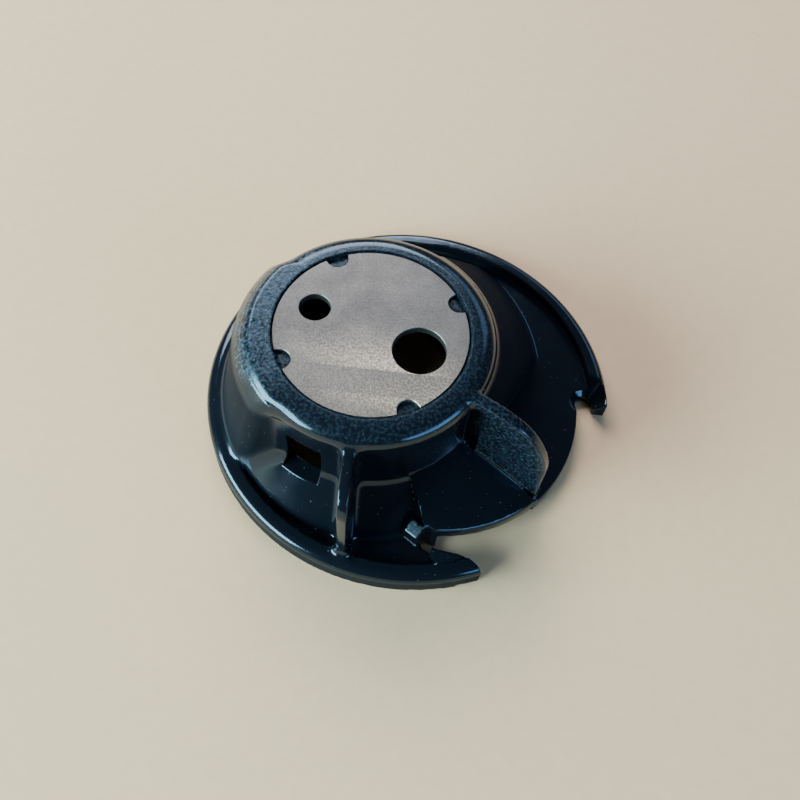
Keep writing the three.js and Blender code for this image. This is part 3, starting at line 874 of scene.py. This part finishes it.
def sums(tree, kind, a, b):
    """One arithmetic step; b may be a socket or a plain number."""
    node = tree.nodes.new("ShaderNodeMath")
    node.operation = kind
    tree.links.new(a, node.inputs[0])
    if isinstance(b, (int, float)):
        node.inputs[1].default_value = b
    else:
        tree.links.new(b, node.inputs[1])
    return node.outputs[0]


def blend_colours(tree, share, first, second, how="MIX"):
    """Two colours blended by a share; each may be a socket or three plain numbers."""
    node = tree.nodes.new("ShaderNodeMix")
    node.data_type = "RGBA"
    node.blend_type = how
    for socket, colour in ((node.inputs[6], first), (node.inputs[7], second)):
        if isinstance(colour, tuple):
            socket.default_value = (*colour, 1)
        else:
            tree.links.new(colour, socket)
    if isinstance(share, (int, float)):
        node.inputs[0].default_value = share
    else:
        tree.links.new(share, node.inputs[0])
    return node.outputs[2]


def connect(tree, surface, colour, rough, normal):
    """Wires a finish's colour, roughness and normal into its surface."""
    tree.links.new(colour, surface.inputs["Base Color"])
    tree.links.new(rough, surface.inputs["Roughness"])
    tree.links.new(normal, surface.inputs["Normal"])


def stored(tree, name):
    """A number stored on the mesh for every vertex."""
    node = tree.nodes.new("ShaderNodeAttribute")
    node.attribute_name = name
    return node.outputs["Fac"]


def bump(tree, height, depth, under=None):
    """A bump as deep as depth millimetres, laid over another one."""
    node = tree.nodes.new("ShaderNodeBump")
    node.inputs["Distance"].default_value = depth * MM
    tree.links.new(height, node.inputs["Height"])
    if under is not None:
        tree.links.new(under, node.inputs["Normal"])
    return node.outputs["Normal"]


print("finish helpers ready")

# %% [markdown]
# The plastic is glossy black, and its reflections are tinted blue: a painted cold sheen that
# stands in for cold light. The mould was spark-eroded on the ring and on the fin, so those faces
# are finely pitted. A blue-teal mottle is painted into their colour as a painted sheen, strongest
# on the ring's left. The slopes of both skirts, the foot of the rim and the edge of the plate's
# seat have gone dull. Two masks, worked out from the same sizes as the shape, say where each of these
# is.

# %% Where the plastic is pitted and carries its painted sheen, or dull
LEFT_RANGE, DEPTH_RANGE, LEFT_SPREAD = (7.0, 13.0), (-10.0, -6.0), 1.5
RING_RANGE, RING_FADE, RING_SHARE = (RING_BOTTOM - 0.1, RING_BOTTOM + 0.2), (10.9, 11.5), 0.3
FIN_SKIN, FIN_RANGE, FIN_SHARE = (0.02, 0.25), (2.0, 3.0), 0.5
SKIRT_SKIN, RIGHT_FADE, LEFT_FADE, LEFT_SHARE = (0.05, 0.3), (12.4, 13.2), (11.5, 13.0), 0.85
WALL_RANGE, WALL_FADE, WALL_SHARE = (RIM_RADIUS - 0.4, RIM_RADIUS - 0.05), (1.4, 2.2), 0.7
SEAT_FADE, SEAT_RANGE = (0.15, 0.35), (CASE_HEIGHT - 1, CASE_HEIGHT - 0.8)


def pitted_and_sheen_mask(points):
    """Pits and painted blue sheen: strongest on the left of the ring, weaker on the rest of it and on
    the fin's sides.
    """
    x, y, z = points.T
    r, _ = about_cup(x, y)
    left = smooth_step(-x, *LEFT_RANGE) * smooth_step(y, *DEPTH_RANGE)
    ring = smooth_step(z, *RING_RANGE) * (1 - smooth_step(r - LEFT_SPREAD * left, *RING_FADE))
    ring = ring * (RING_SHARE + (1 - RING_SHARE) * left)
    fin = 1 - smooth_step(fin_field(x, y, z), *FIN_SKIN)
    return np.maximum(ring, FIN_SHARE * fin * smooth_step(z, *FIN_RANGE))


def dull_mask(points):
    """High on both skirts' slopes, round the rim's foot and along the edge of the plate's seat."""
    x, y, z = points.T
    right = 1 - smooth_step(right_skirt_field(x, y, z), *SKIRT_SKIN)
    left = 1 - smooth_step(left_skirt_field(x, y, z), *SKIRT_SKIN)
    right = right * (1 - smooth_step(z, *RIGHT_FADE))
    left = left * (1 - smooth_step(z, *LEFT_FADE))
    slopes = np.maximum(right, LEFT_SHARE * left) * smooth_step(z, FLANGE, FLANGE + 1)
    wall = smooth_step(np.hypot(x, y), *WALL_RANGE) * (1 - smooth_step(z, *WALL_FADE))
    seat = 1 - smooth_step(np.abs(about_cup(x, y)[0] - PLATE_RADIUS), *SEAT_FADE)
    return np.maximum(np.maximum(slopes, WALL_SHARE * wall), seat * smooth_step(z, *SEAT_RANGE))


def store_mask(piece, name, function):
    """Writes a number for every vertex of a piece, worked out from its place in millimetres."""
    mesh = piece.data
    places = np.empty(len(mesh.vertices) * 3, np.float32)
    mesh.vertices.foreach_get("co", places)
    layer = mesh.attributes.new(name, "FLOAT", "POINT")
    values = function(places.reshape(-1, 3).astype(float) / MM)
    layer.data.foreach_set("value", values.astype(np.float32))
    print(piece.name, name, "covers", round(float(values.mean()), 3))


# The first mask also says where the painted sheen is laid into the colour.
store_mask(case, "pitted_and_sheen", pitted_and_sheen_mask)
store_mask(case, "dull", dull_mask)

# %% Black plastic
# The third colour is a painted sheen, the blue-teal light on the pitted ring, not the plastic's own
# colour.
BLACK, DUSTY, PAINTED_SHEEN_BLUE = (0.004, 0.006, 0.010), (0.10, 0.11, 0.12), (0.065, 0.115, 0.17)
# The first colour on this line tints every reflection blue, a painted cold sheen.
PAINTED_COLD_TINT, PLAIN_SPECULAR, DULL_SPECULAR = (0.50, 0.74, 1.0), 0.5, 0.03
POLISH, MOTTLE, DULLING = (0.10, 0.17), (0.04, 0.22), 0.7
PIT_DEPTH, WAVE_DEPTH, PAINTED_SHEEN_SHARE, DUST_SHARE = 0.014, 0.015, 0.6, 0.8
POLISH_SIZE, MOTTLE_SIZE, GRAIN_SIZE = 3.0, 0.5, 0.3
WAVE_SIZE, PAINTED_SHEEN_SIZE, DUST_SIZE = 4.0, 0.28, 0.22


def black_plastic():
    """Glossy blue-black with blue-tinted reflections, satin where pitted with a painted blue sheen
    mottled in, dull in places, with specks of dust.
    """
    material, tree, surface, place = new_finish("black_plastic", BLACK, 0.0, 0.2)
    # Every reflection is tinted blue: a painted cold sheen that stands in for cold light.
    surface.inputs["Specular Tint"].default_value = (*PAINTED_COLD_TINT, 1)
    pitted_and_sheen = stored(tree, "pitted_and_sheen")
    dull = stored(tree, "dull")
    polish = ranged(tree, noise(tree, place, POLISH_SIZE, 4), 0.3, 0.7, *POLISH)
    mottle = ranged(tree, noise(tree, place, MOTTLE_SIZE, 5), 0.35, 0.65, *MOTTLE)
    rough = sums(tree, "ADD", polish, sums(tree, "MULTIPLY", pitted_and_sheen, mottle))
    rough = sums(tree, "ADD", rough, sums(tree, "MULTIPLY", dull, DULLING))
    specular = ranged(tree, dull, 0, 1, PLAIN_SPECULAR, DULL_SPECULAR)
    tree.links.new(specular, surface.inputs["Specular IOR Level"])
    grain = sums(tree, "MULTIPLY", noise(tree, place, GRAIN_SIZE, 2), pitted_and_sheen)
    pits = bump(tree, grain, PIT_DEPTH)
    waves = bump(tree, noise(tree, place, WAVE_SIZE, 1), WAVE_DEPTH, pits)
    # Painted sheen: a blue-teal mottle laid into the colour where the pitted mask is high.
    painted_sheen = ranged(tree, noise(tree, place, PAINTED_SHEEN_SIZE, 8), 0.45, 0.68, 0.0, PAINTED_SHEEN_SHARE)
    painted_sheen = sums(tree, "MULTIPLY", painted_sheen, pitted_and_sheen)
    skin = blend_colours(tree, painted_sheen, BLACK, PAINTED_SHEEN_BLUE)
    dust = ranged(tree, noise(tree, place, DUST_SIZE, 0), 0.83, 0.86, 0.0, DUST_SHARE)
    speckled = blend_colours(tree, dust, BLACK, DUSTY)
    connect(tree, surface, blend_colours(tree, 1.0, skin, speckled, "LIGHTEN"), rough, waves)
    return material


plastic = black_plastic()
print(plastic.name, "has", len(plastic.node_tree.nodes), "nodes")

# %% [markdown]
# Steel is all reflection, so its finish is its roughness. The plate was tumbled after pressing:
# a fine even grain, faint clouds, a warm tint, a few handling scratches and one patch rubbed
# bright. The spring keeps the long lines of the rolling mill, and the screws have small tool
# marks and dull patches.

# %% Steels
PLATE_DARK, PLATE_PALE, PLATE_RUBBED = (0.105, 0.10, 0.10), (0.165, 0.16, 0.155), (0.85, 0.73, 0.57)
STRIP_TONES = (0.60, 0.60, 0.59), (0.66, 0.65, 0.62)
TURNED_TONES = (0.46, 0.44, 0.40), (0.62, 0.60, 0.55)
PLATE_CLOUD_SIZE, PLATE_GRAIN_SIZE, PLATE_PIT_DEPTH, SCRATCH_DEPTH = 2.6, 0.2, 0.014, 0.003
PLATE_ROUGHNESS, STRIP_ROUGHNESS, TURNED_ROUGHNESS = (0.54, 0.44), (0.2, 0.34), (0.4, 0.24)


def plate_steel():
    """Satin grey with a fine grain, clouds and thin scratches, rubbed bright in one patch."""
    material, tree, surface, place = new_finish("plate_steel", (0.15, 0.145, 0.14), 1.0, 0.48)
    clouds = noise(tree, place, PLATE_CLOUD_SIZE, 4)
    grain = noise(tree, place, PLATE_GRAIN_SIZE, 4)
    tone = sums(tree, "ADD", sums(tree, "MULTIPLY", clouds, 0.5), sums(tree, "MULTIPLY", grain, 0.5))
    plain = blend_colours(tree, ranged(tree, tone, 0.35, 0.65, 0, 1), PLATE_DARK, PLATE_PALE)
    worn = ranged(tree, grain, 0.42, 0.62, 0.25, 1.0)
    patch = sums(tree, "MULTIPLY", stored(tree, "rubbed"), worn)
    pits = bump(tree, grain, PLATE_PIT_DEPTH)
    scratch = noise(tree, place, 0.1, 1, (14, 0.6, 1), 0.9)
    lines = bump(tree, ranged(tree, scratch, 0.68, 0.76, 0, 1), SCRATCH_DEPTH, pits)
    connect(tree, surface, blend_colours(tree, patch, plain, PLATE_RUBBED),
            ranged(tree, tone, 0.3, 0.7, *PLATE_ROUGHNESS), lines)
    return material


def spring_steel():
    """Bright strip with long rolling lines round the cup and faint clouds in its tone."""
    material, tree, surface, place = new_finish("spring_steel", (0.62, 0.62, 0.62), 1.0, 0.26)
    lines = noise(tree, place, 0.08, 3, (12, 12, 1))
    clouds = ranged(tree, noise(tree, place, 3.0, 2), 0.35, 0.65, 0, 1)
    connect(tree, surface, blend_colours(tree, clouds, *STRIP_TONES),
            ranged(tree, lines, 0.3, 0.7, *STRIP_ROUGHNESS), bump(tree, lines, 0.004))
    return material


def screw_steel():
    """Satin turned steel, slightly yellow, with tool marks and dull patches."""
    material, tree, surface, place = new_finish("screw_steel", (0.56, 0.53, 0.48), 1.0, 0.3)
    marks = noise(tree, place, 0.1, 2)
    clouds = noise(tree, place, 1.2, 3)
    tone = ranged(tree, clouds, 0.3, 0.7, 0, 1)
    connect(tree, surface, blend_colours(tree, tone, *TURNED_TONES),
            ranged(tree, clouds, 0.3, 0.7, *TURNED_ROUGHNESS), bump(tree, marks, 0.006))
    return material


plate_finish, strip_finish, turned_finish = plate_steel(), spring_steel(), screw_steel()
print("steels:", plate_finish.name, strip_finish.name, turned_finish.name)

# %% [markdown]
# Each fine piece now takes its finish, rides on the body that carries it, and stands for the
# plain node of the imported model, which is then hidden.

# %% Put the pieces on their bodies
RUBBED = (-2.4, -6.4, 4.8, 3.0)


def settle(piece, finish, body, node):
    """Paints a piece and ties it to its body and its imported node."""
    piece.data.materials.clear()
    piece.data.materials.append(finish)
    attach(piece, body)
    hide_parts(node)
    print(piece.name, "rides on", body)


def rubbed_mask(points):
    """Strongest on the front right of the plate's middle, fading over a few millimetres."""
    away = np.hypot((points[:, 0] - RUBBED[0]) / RUBBED[2], (points[:, 1] - RUBBED[1]) / RUBBED[3])
    return np.exp(-away * away)


store_mask(plate, "rubbed", rubbed_mask)
settle(case, plastic, "case", "case_body")
settle(plate, plate_finish, "case", "base_plate")
settle(spring, strip_finish, "spring", "tension_spring")
for node, body in (("spring_fixing_screw", "case"), ("tension_adjusting_screw", "adjuster")):
    settle(screws[node], turned_finish, body, node)

# %% [markdown]
# The floor is a plain pale board under the case, with only a faint unevenness in its tone.

# %% Floor
FLOOR_HALF = 0.6
FLOOR_TONES = (0.76, 0.495, 0.295), (0.80, 0.525, 0.315)


def make_floor():
    """A large square at height zero."""
    corners = [(FLOOR_HALF * x, FLOOR_HALF * y, 0) for x, y in ((-1, -1), (1, -1), (1, 1), (-1, 1))]
    mesh = bpy.data.meshes.new("floor")
    mesh.from_pydata(corners, [], [(0, 1, 2, 3)])
    material, tree, surface, place = new_finish("pale_board", (0.80, 0.52, 0.31), 0.0, 0.85)
    tone = ranged(tree, noise(tree, place, 1.2, 4), 0.3, 0.7, 0, 1)
    tree.links.new(blend_colours(tree, tone, *FLOOR_TONES), surface.inputs["Base Color"])
    mesh.materials.append(material)
    new_object("floor", mesh)


make_floor()
print("floor", 2 * FLOOR_HALF, "m square")

# %% [markdown]
# Black plastic shows only what it reflects, so the lights are shaped for their reflections. A
# broad softbox stands behind the case, a little to its left: it lights the floor and throws the
# soft shadow to the front right. A small bright one low at the front left draws the highlight on
# the ring above the pocket, a blue one at the front right the long one beside the fin, and a dim
# blue one at the back right lifts the rim there. The room is dim and cold.

# %% Lights
ROOM_COLOUR, ROOM_STRENGTH = (0.72, 0.82, 1.0), 0.075
LIGHTS = [("broad_back_left", 112, 38, 0.45, (0.34, 0.20), 12.0, (0.97, 0.97, 1.0)),
          ("low_front_left", -154, 22, 0.36, (0.30, 0.15), 32.0, (0.64, 0.97, 1.0)),
          ("low_front_right", -36, 26, 0.36, (0.26, 0.10), 9.0, (0.35, 0.66, 1.0)),
          ("high_right", 60, 34, 0.45, (0.24, 0.16), 2.0, (0.50, 0.72, 1.0))]


def softbox(name, azimuth, elevation, distance, size, radiance, colour):
    """A rectangular light aimed at the case; its power follows from its size and brightness."""
    side, rise = math.radians(azimuth), math.radians(elevation)
    level = math.cos(rise)
    towards = np.array([math.cos(side) * level, math.sin(side) * level, math.sin(rise)])
    data = bpy.data.lights.new(name, "AREA")
    data.shape = "RECTANGLE"
    data.size, data.size_y = size
    data.color = colour
    data.energy = math.pi * size[0] * size[1] * radiance
    light = new_object(name, data)
    across = np.cross([0.0, 0.0, 1.0], towards)
    across /= np.linalg.norm(across)
    set_axes(light, across, np.cross(towards, across), towards, towards * distance)
    print(name, "at", azimuth, "degrees round and", elevation, "up")


def room(colour, strength):
    """An even dim light from everywhere."""
    world = bpy.data.worlds.new("room")
    world.use_nodes = True
    background = world.node_tree.nodes["Background"]
    background.inputs["Color"].default_value = (*colour, 1)
    background.inputs["Strength"].default_value = strength
    bpy.context.scene.world = world


room(ROOM_COLOUR, ROOM_STRENGTH)
for values in LIGHTS:
    softbox(*values)
